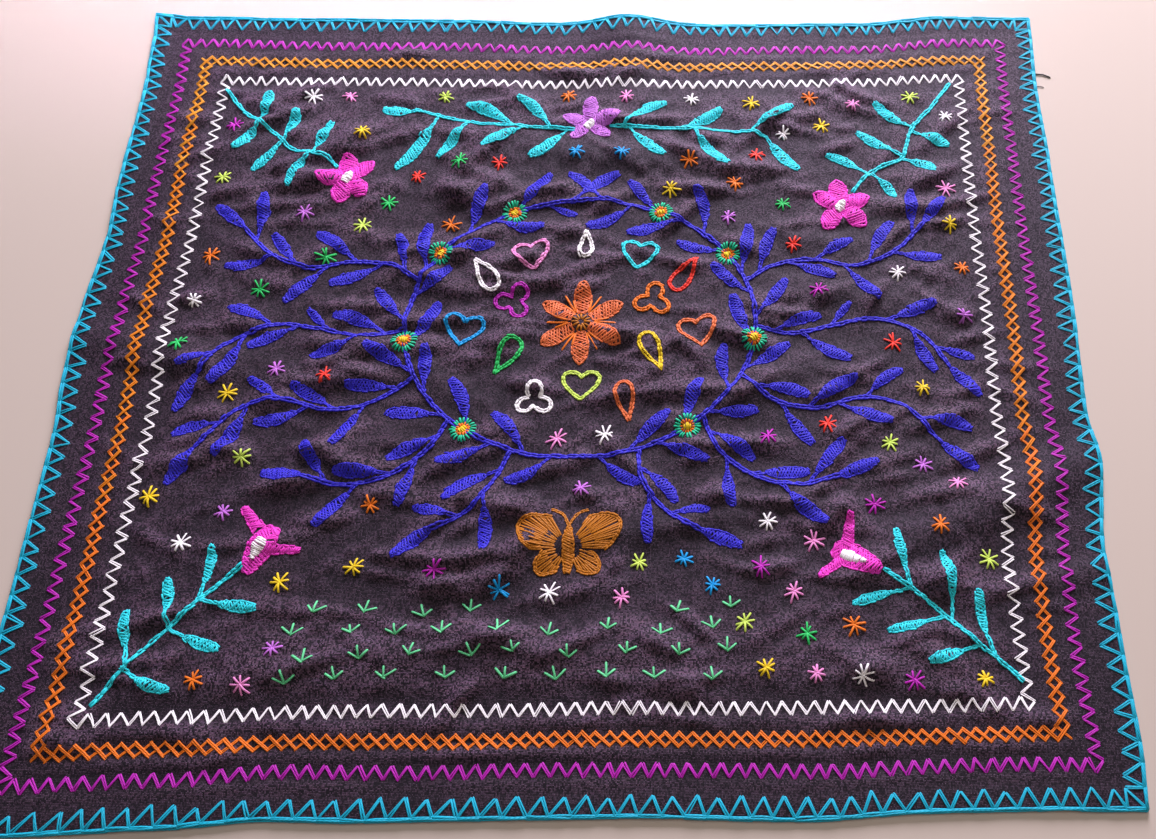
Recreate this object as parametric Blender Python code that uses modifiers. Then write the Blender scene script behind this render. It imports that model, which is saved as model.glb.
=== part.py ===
"""Hand-embroidered black cotton cloth, lying flat on a floor.

One closed solid: the cotton sheet with its turned hem, uneven edges and main
soft folds. Stitching is surface work and isn't part of the solid.
Metres, +Z up, +X along the longest side, the underside rests on z = 0.
"""
import math
from collections import namedtuple

import bpy
from mathutils import Matrix, Vector

MM = 0.001

# Main sizes.
WIDTH = 720 * MM
DEPTH = 620 * MM
CLOTH_THICK = 1.5 * MM
HEM_WIDTH = 12 * MM
HEM_STEP_WIDTH = 3 * MM
HEM_EXTRA_THICK = 0.8 * MM

# How far an uneven edge pulls the cloth inside it along.
EDGE_REACH = 180 * MM

# Heights below this are the floor, so the flat parts are truly flat.
FLAT_BELOW = 0.4 * MM

# Cells between the two hems.
CELLS_ALONG_WIDTH = 44
CELLS_ALONG_DEPTH = 54

# Uneven edges in mm: place along the side from its middle, and how far out.
EdgePoint = namedtuple("EdgePoint", "along out")

FAR_EDGE = (
    EdgePoint(-360, 4.0),
    EdgePoint(-330, 0.0),
    EdgePoint(-235, -2.0),
    EdgePoint(-105, -3.5),
    EdgePoint(-40, -6.5),
    EdgePoint(25, -2.0),
    EdgePoint(90, -8.0),
    EdgePoint(215, -7.0),
    EdgePoint(285, 0.5),
    EdgePoint(360, -1.0),
)
NEAR_EDGE = (
    EdgePoint(-360, 1.0),
    EdgePoint(-325, 1.0),
    EdgePoint(-235, -1.5),
    EdgePoint(-175, -5.0),
    EdgePoint(-115, -3.0),
    EdgePoint(30, -2.5),
    EdgePoint(160, 1.5),
    EdgePoint(225, -1.5),
    EdgePoint(290, -1.5),
    EdgePoint(360, 0.0),
)
LEFT_EDGE = (
    EdgePoint(-310, -1.0),
    EdgePoint(-165, -4.5),
    EdgePoint(-60, -4.5),
    EdgePoint(-8, -0.5),
    EdgePoint(35, -1.0),
    EdgePoint(104, -5.5),
    EdgePoint(152, -3.0),
    EdgePoint(230, -4.0),
    EdgePoint(285, -1.0),
    EdgePoint(310, 2.0),
)
RIGHT_EDGE = (
    EdgePoint(-310, 1.5),
    EdgePoint(-280, 3.0),
    EdgePoint(-195, 0.0),
    EdgePoint(-150, -2.5),
    EdgePoint(-85, 3.5),
    EdgePoint(-45, -1.0),
    EdgePoint(39, 0.5),
    EdgePoint(165, -1.5),
    EdgePoint(234, -3.5),
    EdgePoint(310, -1.5),
)

# Main soft folds in mm and degrees: middle, turn, half sizes and rise.
Fold = namedtuple("Fold", "x y turn half_length half_width rise")

FOLDS = (
    Fold(x=285, y=-116, turn=24, half_length=95, half_width=18, rise=8.0),
    Fold(x=338, y=-166, turn=16, half_length=42, half_width=12, rise=3.5),
    Fold(x=25, y=300, turn=90, half_length=62, half_width=27, rise=6.0),
    Fold(x=25, y=172, turn=-6, half_length=95, half_width=15, rise=5.5),
    Fold(x=-85, y=141, turn=0, half_length=48, half_width=12, rise=3.5),
    Fold(x=-110, y=62, turn=2, half_length=42, half_width=13, rise=3.5),
    Fold(x=-295, y=8, turn=-10, half_length=75, half_width=15, rise=5.5),
    Fold(x=-155, y=-74, turn=25, half_length=55, half_width=12, rise=4.5),
    Fold(x=15, y=-132, turn=8, half_length=115, half_width=13, rise=5.0),
    Fold(x=125, y=-28, turn=19, half_length=80, half_width=13, rise=4.5),
    Fold(x=165, y=96, turn=-12, half_length=45, half_width=13, rise=3.5),
    Fold(x=190, y=50, turn=-8, half_length=58, half_width=13, rise=3.5),
    Fold(x=-50, y=-207, turn=0, half_length=150, half_width=13, rise=3.5),
    Fold(x=150, y=-106, turn=-25, half_length=40, half_width=12, rise=3.5),
    Fold(x=-115, y=-8, turn=-32, half_length=50, half_width=12, rise=3.5),
    Fold(x=-250, y=180, turn=8, half_length=45, half_width=13, rise=3.0),
)


def edge_out(table, along):
    """How far out one uneven edge lies at a place along it, in metres."""
    place = along / MM
    last = len(table) - 1
    if place <= table[0].along:
        return table[0].out * MM
    if place >= table[last].along:
        return table[last].out * MM
    index = 0
    while table[index + 1].along < place:
        index += 1
    here = table[index]
    there = table[index + 1]
    share = (place - here.along) / (there.along - here.along)
    eased = share * share * (3 - 2 * share)
    return (here.out + (there.out - here.out) * eased) * MM


def fade(distance):
    """One at the edge, nought at the edge reach, soft in between."""
    left_over = max(0.0, 1.0 - distance / EDGE_REACH)
    return left_over * left_over


def place_on_floor(x, y):
    """Move a point of the straight rectangle to its uneven place."""
    from_left = x + WIDTH / 2
    from_right = WIDTH / 2 - x
    from_near = y + DEPTH / 2
    from_far = DEPTH / 2 - y
    moved_x = x
    moved_x -= edge_out(LEFT_EDGE, y) * fade(from_left)
    moved_x += edge_out(RIGHT_EDGE, y) * fade(from_right)
    moved_y = y
    moved_y -= edge_out(NEAR_EDGE, x) * fade(from_near)
    moved_y += edge_out(FAR_EDGE, x) * fade(from_far)
    return moved_x, moved_y


def fold_height(x, y):
    """Height of the underside over the floor."""
    height = 0.0
    for fold in FOLDS:
        offset = Vector((x / MM - fold.x, y / MM - fold.y))
        offset.rotate(Matrix.Rotation(-math.radians(fold.turn), 2))
        along = offset.x / fold.half_length
        across = offset.y / fold.half_width
        height += fold.rise * MM * math.exp(-along * along - across * across)
    return max(0.0, height - FLAT_BELOW)


def grid_lines(size, cells):
    """Places of the grid lines: the hem, its step, then even cells."""
    half = size / 2
    inner = half - HEM_WIDTH - HEM_STEP_WIDTH
    lines = [-half, -half + HEM_WIDTH]
    for index in range(cells + 1):
        lines.append(-inner + 2 * inner * index / cells)
    lines.append(half - HEM_WIDTH)
    lines.append(half)
    return lines


def hem_share(x, y):
    """One on the turned hem, nought on the single cloth."""
    inside = min(WIDTH / 2 - abs(x), DEPTH / 2 - abs(y))
    share = (HEM_WIDTH + HEM_STEP_WIDTH - inside) / HEM_STEP_WIDTH
    return min(1.0, max(0.0, share))


def add_grid():
    """A flat unit grid with one cell between each pair of grid lines."""
    bpy.ops.mesh.primitive_grid_add(
        x_subdivisions=CELLS_ALONG_WIDTH + 4,
        y_subdivisions=CELLS_ALONG_DEPTH + 4,
        size=1.0,
        location=(0, 0, 0),
    )
    return bpy.context.object


def shape_grid(cloth):
    """Lay the grid out as the cloth's underside, and mark its hem."""
    x_lines = grid_lines(WIDTH, CELLS_ALONG_WIDTH)
    y_lines = grid_lines(DEPTH, CELLS_ALONG_DEPTH)
    hem = cloth.vertex_groups.new(name="hem")
    for vertex in cloth.data.vertices:
        column = round((vertex.co.x + 0.5) * (len(x_lines) - 1))
        row = round((vertex.co.y + 0.5) * (len(y_lines) - 1))
        straight_x = x_lines[column]
        straight_y = y_lines[row]
        x, y = place_on_floor(straight_x, straight_y)
        vertex.co = (x, y, fold_height(x, y))
        hem.add([vertex.index], hem_share(straight_x, straight_y), "REPLACE")


def centre_on_origin(cloth):
    """Put the middle of the outline over the origin."""
    xs = [vertex.co.x for vertex in cloth.data.vertices]
    ys = [vertex.co.y for vertex in cloth.data.vertices]
    middle = Vector((min(xs) + max(xs), min(ys) + max(ys), 0.0)) / 2
    for vertex in cloth.data.vertices:
        vertex.co -= middle


def thicken(cloth):
    """Give the sheet its thickness upwards, with the hem thicker."""
    hem_thick = CLOTH_THICK + HEM_EXTRA_THICK
    solidify = cloth.modifiers.new("thickness", "SOLIDIFY")
    solidify.thickness = hem_thick
    solidify.offset = 1.0
    solidify.vertex_group = "hem"
    solidify.thickness_vertex_group = CLOTH_THICK / hem_thick


def black_cotton():
    """Near-black plain cotton with a faint purple-brown tint."""
    colour = (0.030, 0.022, 0.030, 1.0)
    material = bpy.data.materials.new("black_cotton")
    material.use_nodes = True
    shader = material.node_tree.nodes["Principled BSDF"]
    shader.inputs["Base Color"].default_value = colour
    shader.inputs["Roughness"].default_value = 0.9
    shader.inputs["Metallic"].default_value = 0.0
    material.diffuse_color = colour
    return material


def main():
    """Empty the file, then add the cloth in its own collection."""
    for old in list(bpy.data.objects):
        bpy.data.objects.remove(old)
    collection = bpy.data.collections.new("embroidered_cloth")
    bpy.context.scene.collection.children.link(collection)
    cloth = add_grid()
    cloth.name = "cloth"
    cloth.data.name = "cloth"
    for parent in list(cloth.users_collection):
        parent.objects.unlink(cloth)
    collection.objects.link(cloth)
    shape_grid(cloth)
    centre_on_origin(cloth)
    thicken(cloth)
    cloth.data.materials.append(black_cotton())


main()
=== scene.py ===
# %% [markdown]
# # A black cotton cloth, embroidered by hand
# The real object is a rectangle of plain black cotton, about 72 by 62 cm, with a
# turned hem. Bright cotton floss is worked over it: blanket stitch along the edge,
# three rows of zigzag, leafy sprays, flowers and star stitches.
# This lesson loads the plain sheet as a fixed frame, lays a finer cloth over it,
# and then sews every stitch as its own short tube of thread.

import math
from collections import namedtuple

import bpy
import numpy as np
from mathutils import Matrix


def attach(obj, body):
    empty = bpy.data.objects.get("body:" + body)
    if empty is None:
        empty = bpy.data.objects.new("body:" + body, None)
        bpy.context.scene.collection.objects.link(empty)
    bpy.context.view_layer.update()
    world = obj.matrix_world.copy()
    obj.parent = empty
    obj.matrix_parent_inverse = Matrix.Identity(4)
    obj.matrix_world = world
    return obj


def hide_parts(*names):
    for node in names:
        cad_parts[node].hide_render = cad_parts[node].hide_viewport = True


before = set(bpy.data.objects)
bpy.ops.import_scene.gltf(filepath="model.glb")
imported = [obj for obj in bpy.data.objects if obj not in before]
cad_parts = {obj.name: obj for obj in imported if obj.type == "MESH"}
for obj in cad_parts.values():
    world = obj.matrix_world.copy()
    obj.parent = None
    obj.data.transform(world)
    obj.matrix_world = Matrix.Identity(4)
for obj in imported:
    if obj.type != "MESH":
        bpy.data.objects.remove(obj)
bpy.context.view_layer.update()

# %% [markdown]
# ## Camera
# The picture was cut out of a wider one, so the lens axis lies right of its middle.
# A small lens shift gives the same view of a true rectangle.

# %% Camera
MM = 0.001
CAMERA_PLACE = (0.1205, -0.3118, 0.6521)
CAMERA_TURN_DEG = (21.794, -1.252, -1.155)
SENSOR_MM = 36
LENS_MM = 31.142
LENS_SHIFT = -0.1729
NEAREST = 0.01

camera = bpy.data.objects.new("camera", bpy.data.cameras.new("camera"))
bpy.context.scene.collection.objects.link(camera)
camera.location = CAMERA_PLACE
camera.rotation_euler = [math.radians(turn) for turn in CAMERA_TURN_DEG]
camera.data.sensor_width = SENSOR_MM
camera.data.lens = LENS_MM
camera.data.shift_x = LENS_SHIFT
camera.data.clip_start = NEAREST
bpy.context.scene.camera = camera
print("camera height in metres:", CAMERA_PLACE[2])

# %% [markdown]
# ## Colours and nodes
# Colours are written as sRGB hex, as a thread card would be scanned, and one
# function turns them to the linear values that shaders use. One more function adds
# a shader node with its settings and its links, whatever the kind of node.

# %% Colour and node helpers


def linear(hex_colour):
    """An sRGB hex colour as linear red, green, blue and alpha."""
    parts = [int(hex_colour[i : i + 2], 16) / 255 for i in (1, 3, 5)]
    bright = [p / 12.92 if p <= 0.04045 else ((p + 0.055) / 1.055) ** 2.4 for p in parts]
    return (*bright, 1.0)


def add_node(tree, kind, settings=None, links=None):
    """Add one node; settings are its own values or its sockets', links feed sockets."""
    node = tree.nodes.new(kind)
    for name, value in (settings or {}).items():
        if isinstance(name, str) and hasattr(node, name):
            setattr(node, name, value)
        else:
            node.inputs[name].default_value = value
    for name, source in (links or {}).items():
        tree.links.new(source, node.inputs[name])
    return node


def new_material(name):
    """An empty material, and its node tree to fill."""
    material = bpy.data.materials.new(name)
    material.use_nodes = True
    tree = material.node_tree
    tree.nodes.clear()
    return material, tree


print("middle grey as linear:", [round(v, 3) for v in linear("#808080")])

# %% [markdown]
# ## Floor and light
# A plain pale floor stands for the tiles. The daylight comes from beyond the far
# edge, so that slopes that face away from the viewer are bright. A narrow strip of
# light brightens the far part of the cloth, and a weak warm one fills the near side.

# %% Floor
FLOOR_SIZE = 6.0
FLOOR_DROP = 0.0004


def painted_floor():
    """Matte off-white floor paint: it scatters the light evenly, without a shine."""
    material, tree = new_material("matte off-white floor paint")
    look = {"Base Color": linear("#c3b7ab"), "Roughness": 0.85}
    shader = add_node(tree, "ShaderNodeBsdfPrincipled", look)
    add_node(tree, "ShaderNodeOutputMaterial", None, {"Surface": shader.outputs["BSDF"]})
    return material


bpy.ops.mesh.primitive_plane_add(size=FLOOR_SIZE, location=(0, 0, -FLOOR_DROP))
floor = bpy.context.object
floor.name = "floor"
floor.data.materials.append(painted_floor())
print("floor side in metres:", FLOOR_SIZE)

# %% Lights
Light = namedtuple("Light", "name place aim wide high spread power colour")

SKY_COLOUR = "#f2edf2"
SKY_STRENGTH = 0.12
LIGHTS = (
    Light("sky_beyond", (0.42, 2.0, 0.95), (0.0, 0.05, 0.0), 1.0, 1.0, 180, 112, "#f8eeff"),
    Light("sky_above", (0.5, 0.6, 2.4), (0.0, 0.0, 0.0), 1.5, 1.5, 180, 20, "#fff4ee"),
    Light("far_glow", (-0.12, 1.3, 1.0), (-0.12, 0.44, 0.0), 0.8, 0.1, 18, 0.9, "#f2e2ff"),
    Light("warm_near", (0.9, -1.6, 1.3), (0.0, 0.0, 0.0), 1.4, 1.4, 180, 5, "#ffdcc0"),
)


def add_light(light):
    """A soft light, turned to its aim; a small spread keeps its light together."""
    data = bpy.data.lights.new(light.name, "AREA")
    data.shape = "RECTANGLE"
    data.size = light.wide
    data.size_y = light.high
    data.spread = math.radians(light.spread)
    data.energy = light.power
    data.color = linear(light.colour)[:3]
    lamp = bpy.data.objects.new(light.name, data)
    bpy.context.scene.collection.objects.link(lamp)
    lamp.location = light.place
    away = [here - there for here, there in zip(light.place, light.aim)]
    flat = math.hypot(away[0], away[1])
    lamp.rotation_euler = (math.atan2(flat, away[2]), 0.0, math.atan2(away[0], -away[1]))


for light in LIGHTS:
    add_light(light)

world = bpy.data.worlds.new("soft studio")
bpy.context.scene.world = world
world.use_nodes = True
backdrop = world.node_tree.nodes["Background"]
backdrop.inputs["Color"].default_value = linear(SKY_COLOUR)
backdrop.inputs["Strength"].default_value = SKY_STRENGTH
bpy.context.scene.view_settings.view_transform = "Standard"
print("lights:", len(LIGHTS))

# %% [markdown]
# ## Where the cloth lies
# All needlework is planned on the straight rectangle that was cut, in millimetres
# from its middle. The cloth then lies a little unevenly: each side swings in and out
# by a few millimetres, and the rows sewn beside it swing with it.

# %% Uneven edges
WIDTH = 720.0
DEPTH = 620.0
EDGE_REACH = 180.0
MIDDLE = (0.738, 1.254)

# Each pair has a place along the side, and how far out the side lies there, in mm.
FAR_EDGE = (
    (-360, 4.0), (-330, 0.0), (-235, -2.0), (-105, -3.5), (-40, -6.5),
    (25, -2.0), (90, -8.0), (215, -7.0), (285, 0.5), (360, -1.0),
)
NEAR_EDGE = (
    (-360, 1.0), (-325, 1.0), (-235, -1.5), (-175, -5.0), (-115, -3.0),
    (30, -2.5), (160, 1.5), (225, -1.5), (290, -1.5), (360, 0.0),
)
LEFT_EDGE = (
    (-310, -1.0), (-165, -4.5), (-60, -4.5), (-8, -0.5), (35, -1.0),
    (104, -5.5), (152, -3.0), (230, -4.0), (285, -1.0), (310, 2.0),
)
RIGHT_EDGE = (
    (-310, 1.5), (-280, 3.0), (-195, 0.0), (-150, -2.5), (-85, 3.5),
    (-45, -1.0), (39, 0.5), (165, -1.5), (234, -3.5), (310, -1.5),
)


def eased(share):
    """A smooth step from nought to one."""
    share = np.clip(share, 0, 1)
    return share * share * (3 - 2 * share)


def edge_out(table, along):
    """How far out the side lies at each place, eased between the rows."""
    places, outs = np.array(table, dtype=float).T
    index = np.clip(np.searchsorted(places, along) - 1, 0, len(table) - 2)
    share = (along - places[index]) / (places[index + 1] - places[index])
    return outs[index] + (outs[index + 1] - outs[index]) * eased(share)


def fade(distance):
    """One at the edge, nought at the edge reach."""
    return np.clip(1 - distance / EDGE_REACH, 0, 1) ** 2


def laid(x, y):
    """Places on the floor of points of the straight rectangle, in mm."""
    laid_x = x - edge_out(LEFT_EDGE, y) * fade(x + WIDTH / 2)
    laid_x = laid_x + edge_out(RIGHT_EDGE, y) * fade(WIDTH / 2 - x)
    laid_y = y - edge_out(NEAR_EDGE, x) * fade(y + DEPTH / 2)
    laid_y = laid_y + edge_out(FAR_EDGE, x) * fade(DEPTH / 2 - y)
    return laid_x, laid_y


print("top left corner lies at", laid(np.array(-360.0), np.array(310.0)))

# %% [markdown]
# ## Folds and puckers
# The main folds are long soft ridges, placed as the frame's solid has them.
# Between them the pull of the thread puckers the cotton: many low, short ridges,
# mostly from left to right. Each sewn row pulls the cloth down, and it puffs up in
# bands beside the rows, fullest on the near side and towards the left there.

# %% Folds and puckers
CLOTH_THICK = 1.5
HEM_WIDTH = 12.0
HEM_STEP_WIDTH = 3.0
HEM_EXTRA_THICK = 0.8
FLAT_BELOW = 0.4

Fold = namedtuple("Fold", "x y turn half_length half_width rise")

FOLDS = [
    Fold(*numbers)
    for numbers in (
        (285, -116, 24, 95, 18, 8.0), (338, -166, 16, 42, 12, 3.5), (25, 300, 90, 62, 27, 6.0),
        (25, 172, -6, 95, 15, 5.5), (-85, 141, 0, 48, 12, 3.5), (-110, 62, 2, 42, 13, 3.5),
        (-295, 8, -10, 75, 15, 5.5), (-155, -74, 25, 55, 12, 4.5), (15, -132, 8, 115, 13, 5.0),
        (125, -28, 19, 80, 13, 4.5), (165, 96, -12, 45, 13, 3.5), (190, 50, -8, 58, 13, 3.5),
        (-50, -207, 0, 150, 13, 3.5), (150, -106, -25, 40, 12, 3.5),
        (-115, -8, -32, 50, 12, 3.5), (-250, 180, 8, 45, 13, 3.0),
    )
]
PUCKER_COUNT = 430
PUCKER_SEED = 21
PUCKER_FIELD = (330, 275)
PUCKER_HALF_WIDTHS = (4.2, 9.0)
PUCKER_HALF_LENGTHS = (11, 34)
PUCKER_STEEPNESS = (0.2, 0.78)
PUCKER_TURN = (7, 22)
CRUMPLE_SEED = 22
CRUMPLE_WAVES = 60
CRUMPLE_LENGTHS = (10.0, 26.0)
CRUMPLE_RISE = 0.34


def random_puckers():
    """Short low ridges, mostly from left to right."""
    draw = np.random.default_rng(PUCKER_SEED)
    puckers = []
    for _ in range(PUCKER_COUNT):
        half_width = draw.uniform(*PUCKER_HALF_WIDTHS)
        x, y = [draw.uniform(-reach, reach) for reach in PUCKER_FIELD]
        turn = draw.normal(*PUCKER_TURN)
        half_length = draw.uniform(*PUCKER_HALF_LENGTHS)
        rise = draw.uniform(*PUCKER_STEEPNESS) * half_width
        puckers.append(Fold(x, y, turn, half_length, half_width, rise))
    return puckers


def turned(direction, degrees):
    """A direction, or a whole table of them, turned by some degrees."""
    cosine, sine = math.cos(math.radians(degrees)), math.sin(math.radians(degrees))
    x, y = direction
    return np.array([x * cosine - y * sine, x * sine + y * cosine])


def ridge_height(folds, x, y, steeper=1.0):
    """Sum of soft ridges, in mm; their near sides may be steeper."""
    height = np.zeros_like(x)
    for fold in folds:
        along, across = turned((x - fold.x, y - fold.y), -fold.turn)
        along /= fold.half_length
        across /= fold.half_width
        across = np.where(across < 0, across * steeper, across)
        height += fold.rise * np.exp(-along * along - across * across)
    return height


def crumple_height(x, y):
    """Small crumples everywhere: many short waves that cross, in mm."""
    draw = np.random.default_rng(CRUMPLE_SEED)
    height = np.zeros_like(x)
    for _ in range(CRUMPLE_WAVES):
        turn, phase = draw.uniform(0, 2 * math.pi, 2)
        across = x * math.cos(turn) + y * math.sin(turn)
        height += np.sin(2 * math.pi * across / draw.uniform(*CRUMPLE_LENGTHS) + phase)
    return height * CRUMPLE_RISE * math.sqrt(2 / CRUMPLE_WAVES)


PUCKERS = random_puckers()
print("puckers:", len(PUCKERS), "first:", [round(v, 1) for v in PUCKERS[0]])

# %% Height of the cloth
ROW_INSETS = (27.8, 46.0, 64.6)
ROW_DIP = 1.1
ROW_DIP_HALF_WIDTH = 5.0
Band = namedtuple("Band", "inset puff outward inward")

# Each band falls steeply towards the edge and softly towards the middle.
BANDS = (
    Band(20.5, 1.4, 5.5, 6.0),
    Band(38.0, 2.2, 4.6, 6.5),
    Band(57.0, 2.2, 4.6, 6.5),
    Band(84.0, 3.2, 8.5, 32.0),
)
BAND_SHARE_ELSEWHERE = 0.35
LEFT_DEEPER = 0.35
MITRE_REACH = 25.0
SWELL_LENGTHS = (19, 23)
SWELL_BEND_LENGTHS = (47, 53)
SWELL_SHARE = 0.3
NEAR_SIDE_STEEPER = 1.9
CALM_REACH = 95.0
CALM_RIM = 0.15
CLEARANCE = 0.1
SOFT_LANDING = 0.25


def inside_distance(x, y):
    """Distance in from the nearest side of the straight rectangle."""
    return np.minimum(WIDTH / 2 - np.abs(x), DEPTH / 2 - np.abs(y))


def band_share(x, y):
    """How much the bands puff: fully on the near side, more to the left, and unevenly."""
    mitre = (WIDTH / 2 - np.abs(x)) - (DEPTH / 2 - np.abs(y))
    near_share = np.where(y < 0, np.clip(mitre / MITRE_REACH, 0, 1), 0)
    near_share *= 1 - LEFT_DEEPER * np.clip(x / (WIDTH / 2), -1, 1)
    share = BAND_SHARE_ELSEWHERE + (1 - BAND_SHARE_ELSEWHERE) * near_share
    swell = np.sin(x / SWELL_LENGTHS[0] + 2 * np.sin(y / SWELL_BEND_LENGTHS[0]))
    swell *= np.sin(y / SWELL_LENGTHS[1] + 2 * np.sin(x / SWELL_BEND_LENGTHS[1]))
    return share * (1 - SWELL_SHARE + SWELL_SHARE * swell)


def small_relief(x, y):
    """Height of the puckers, crumples and puffed bands at straight places, in mm."""
    laid_x, laid_y = laid(x, y)
    inside = inside_distance(x, y)
    height = ridge_height(PUCKERS, laid_x, laid_y, NEAR_SIDE_STEEPER)
    height += crumple_height(laid_x, laid_y)
    height *= np.clip(inside / CALM_REACH, CALM_RIM, 1)
    share = band_share(x, y)
    for band in BANDS:
        off = inside - band.inset
        half_width = np.where(off > 0, band.inward, band.outward)
        height += band.puff * share * np.exp(-((off / half_width) ** 2))
    for inset in ROW_INSETS:
        height -= ROW_DIP * np.exp(-(((inside - inset) / ROW_DIP_HALF_WIDTH) ** 2))
    return height


def underside_height(x, y):
    """Height of the underside over the floor at straight places, in mm."""
    folds = ridge_height(FOLDS, *laid(x, y)) - FLAT_BELOW
    total = np.maximum(folds, 0) + small_relief(x, y) + CLEARANCE
    return np.where(total > 0, total * total / (total + SOFT_LANDING), 0.0)


def thickness(x, y):
    """The cloth's thickness, with the turned hem along the edge."""
    share = (HEM_WIDTH + HEM_STEP_WIDTH - inside_distance(x, y)) / HEM_STEP_WIDTH
    return CLOTH_THICK + HEM_EXTRA_THICK * eased(share)


middle_height = underside_height(np.array([0.0]), np.array([0.0]))
print("height at the middle in mm:", middle_height)

# %% [markdown]
# ## The cloth itself
# The sheet is a fine grid, a point about every 2.6 mm, laid over the frame's solid. A
# grid keeps the straight plan: a stitch at a place of the plan can be looked up on
# it. Solidify would lose the thicker hem's shape, so both skins are laid as grids. The
# underside rests on the floor and needs only every second point. Each point also keeps
# how high the puckers stand there, so that painted light makes the cotton paler on
# the crests and painted shade makes it darker in the hollows.

# %% Cloth mesh
CELLS_ALONG_WIDTH = 280
CELLS_ALONG_DEPTH = 240
CREST_FROM, CREST_TO = -0.6, 2.8

plan_x = np.linspace(-WIDTH / 2, WIDTH / 2, CELLS_ALONG_WIDTH + 1)
plan_y = np.linspace(-DEPTH / 2, DEPTH / 2, CELLS_ALONG_DEPTH + 1)
grid_x, grid_y = np.meshgrid(plan_x, plan_y)
grid_laid_x, grid_laid_y = laid(grid_x, grid_y)
under_skin = np.stack(
    [grid_laid_x - MIDDLE[0], grid_laid_y - MIDDLE[1], underside_height(grid_x, grid_y)], axis=-1
)
top_skin = under_skin.copy()
top_skin[..., 2] += thickness(grid_x, grid_y)


def unit(vectors):
    """The same directions at length one."""
    return vectors / np.linalg.norm(vectors, axis=-1, keepdims=True)


top_normals = unit(np.cross(np.gradient(top_skin, axis=1), np.gradient(top_skin, axis=0)))


def mesh_object(name, points, faces, materials, face_materials=None):
    """A smooth-shaded mesh object in metres from points in mm."""
    mesh = bpy.data.meshes.new(name)
    mesh.from_pydata((points * MM).tolist(), [], faces)
    for material in materials:
        mesh.materials.append(material)
    if face_materials is not None:
        mesh.polygons.foreach_set("material_index", face_materials)
    mesh.polygons.foreach_set("use_smooth", [True] * len(mesh.polygons))
    mesh.update()
    piece = bpy.data.objects.new(name, mesh)
    bpy.context.scene.collection.objects.link(piece)
    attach(piece, "root")
    return piece


def point_numbers(skin, first):
    """The number of each point of a skin, in rows and columns."""
    rows, columns = skin.shape[:2]
    return first + np.arange(rows * columns).reshape(rows, columns)


def grid_faces(index, turned_over=False):
    """Four-sided faces of a grid of points."""
    corners = [index[:-1, :-1], index[:-1, 1:], index[1:, 1:], index[1:, :-1]]
    if turned_over:
        corners.reverse()
    return np.stack(corners, axis=-1).reshape(-1, 4).tolist()


def rim_loop(index):
    """The points around the edge of a grid, in order."""
    sides = [index[0, :-1], index[:-1, -1], index[-1, :0:-1], index[:0:-1, 0]]
    return np.concatenate(sides).tolist()


def rim_faces(top_loop, under_loop):
    """The strip that joins the two skins: two top edges to each edge below."""
    faces = []
    for k, here in enumerate(under_loop):
        following = under_loop[(k + 1) % len(under_loop)]
        above = [top_loop[(2 * k + step) % len(top_loop)] for step in (2, 1, 0)]
        faces.append((here, following, *above))
    return faces


def make_cloth(material):
    """Both skins and the rim as one closed mesh."""
    coarse = under_skin[::2, ::2]
    first = grid_x.size
    top = point_numbers(top_skin, 0)
    under = point_numbers(coarse, first)
    points = np.concatenate([top_skin.reshape(-1, 3), coarse.reshape(-1, 3)])
    faces = grid_faces(top) + grid_faces(under, turned_over=True)
    faces += rim_faces(rim_loop(top), rim_loop(under))
    sheet = mesh_object("cloth_sheet", points, faces, [material])
    # The crest height is kept for painted light on the crests and painted shade in the hollows.
    relief = small_relief(grid_x, grid_y)
    crest = np.interp(relief, (CREST_FROM, CREST_TO), (0, 1))
    crest = np.concatenate([crest.reshape(-1), np.zeros(len(points) - first)])
    layer = sheet.data.attributes.new("crest", "FLOAT", "POINT")
    layer.data.foreach_set("value", crest.astype(np.float32))
    return sheet


print("cloth points on one skin:", grid_x.size)

# %% [markdown]
# ## Plain-weave cotton
# The ground is plain-weave cotton dyed black, a little warm and faded. Warp and weft
# are about 0.5 mm apart on the real cloth. That is too fine for the picture, so the
# yarns are drawn at 0.9 mm, and the dye, gloss and height of their crossings change
# every 0.95 mm. The crests are paler than the hollows, as painted light and shade.
# Cotton is matte: it gives the eye a weak violet gloss and a faint fuzz, which the
# sheen draws.

# %% Cotton yarns
WEAVE_PITCH = 0.9 * MM
DYE_CELL = 0.95 * MM

# At scale 1 the wave texture's straight bands repeat every 2 pi / 20.
YARN_WAVES = {
    "Scale": 2 * math.pi / 20 / WEAVE_PITCH,
    "Distortion": 2.6,
    "Detail": 2.0,
    "Detail Scale": 1.4,
}


def woven_yarns(tree, place):
    """Warp and weft as two crossed waves, brightest where both yarns stand up."""
    waves = {}
    for number, way in enumerate(("X", "Y")):
        look = {"bands_direction": way, **YARN_WAVES}
        wave = add_node(tree, "ShaderNodeTexWave", look, {"Vector": place})
        waves[number] = wave.outputs["Fac"]
    crossed = add_node(tree, "ShaderNodeMath", {"operation": "MULTIPLY"}, waves)
    return crossed.outputs["Value"]


def dye_at_crossings(tree, place):
    """One random value for each crossing of two yarns."""
    grid = {"operation": "SNAP", 1: (DYE_CELL, DYE_CELL, DYE_CELL)}
    crossing = add_node(tree, "ShaderNodeVectorMath", grid, {0: place}).outputs["Vector"]
    flat = {"noise_dimensions": "2D"}
    return add_node(tree, "ShaderNodeTexWhiteNoise", flat, {"Vector": crossing}).outputs["Value"]


print("yarns drawn per metre:", round(1 / WEAVE_PITCH))

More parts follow.
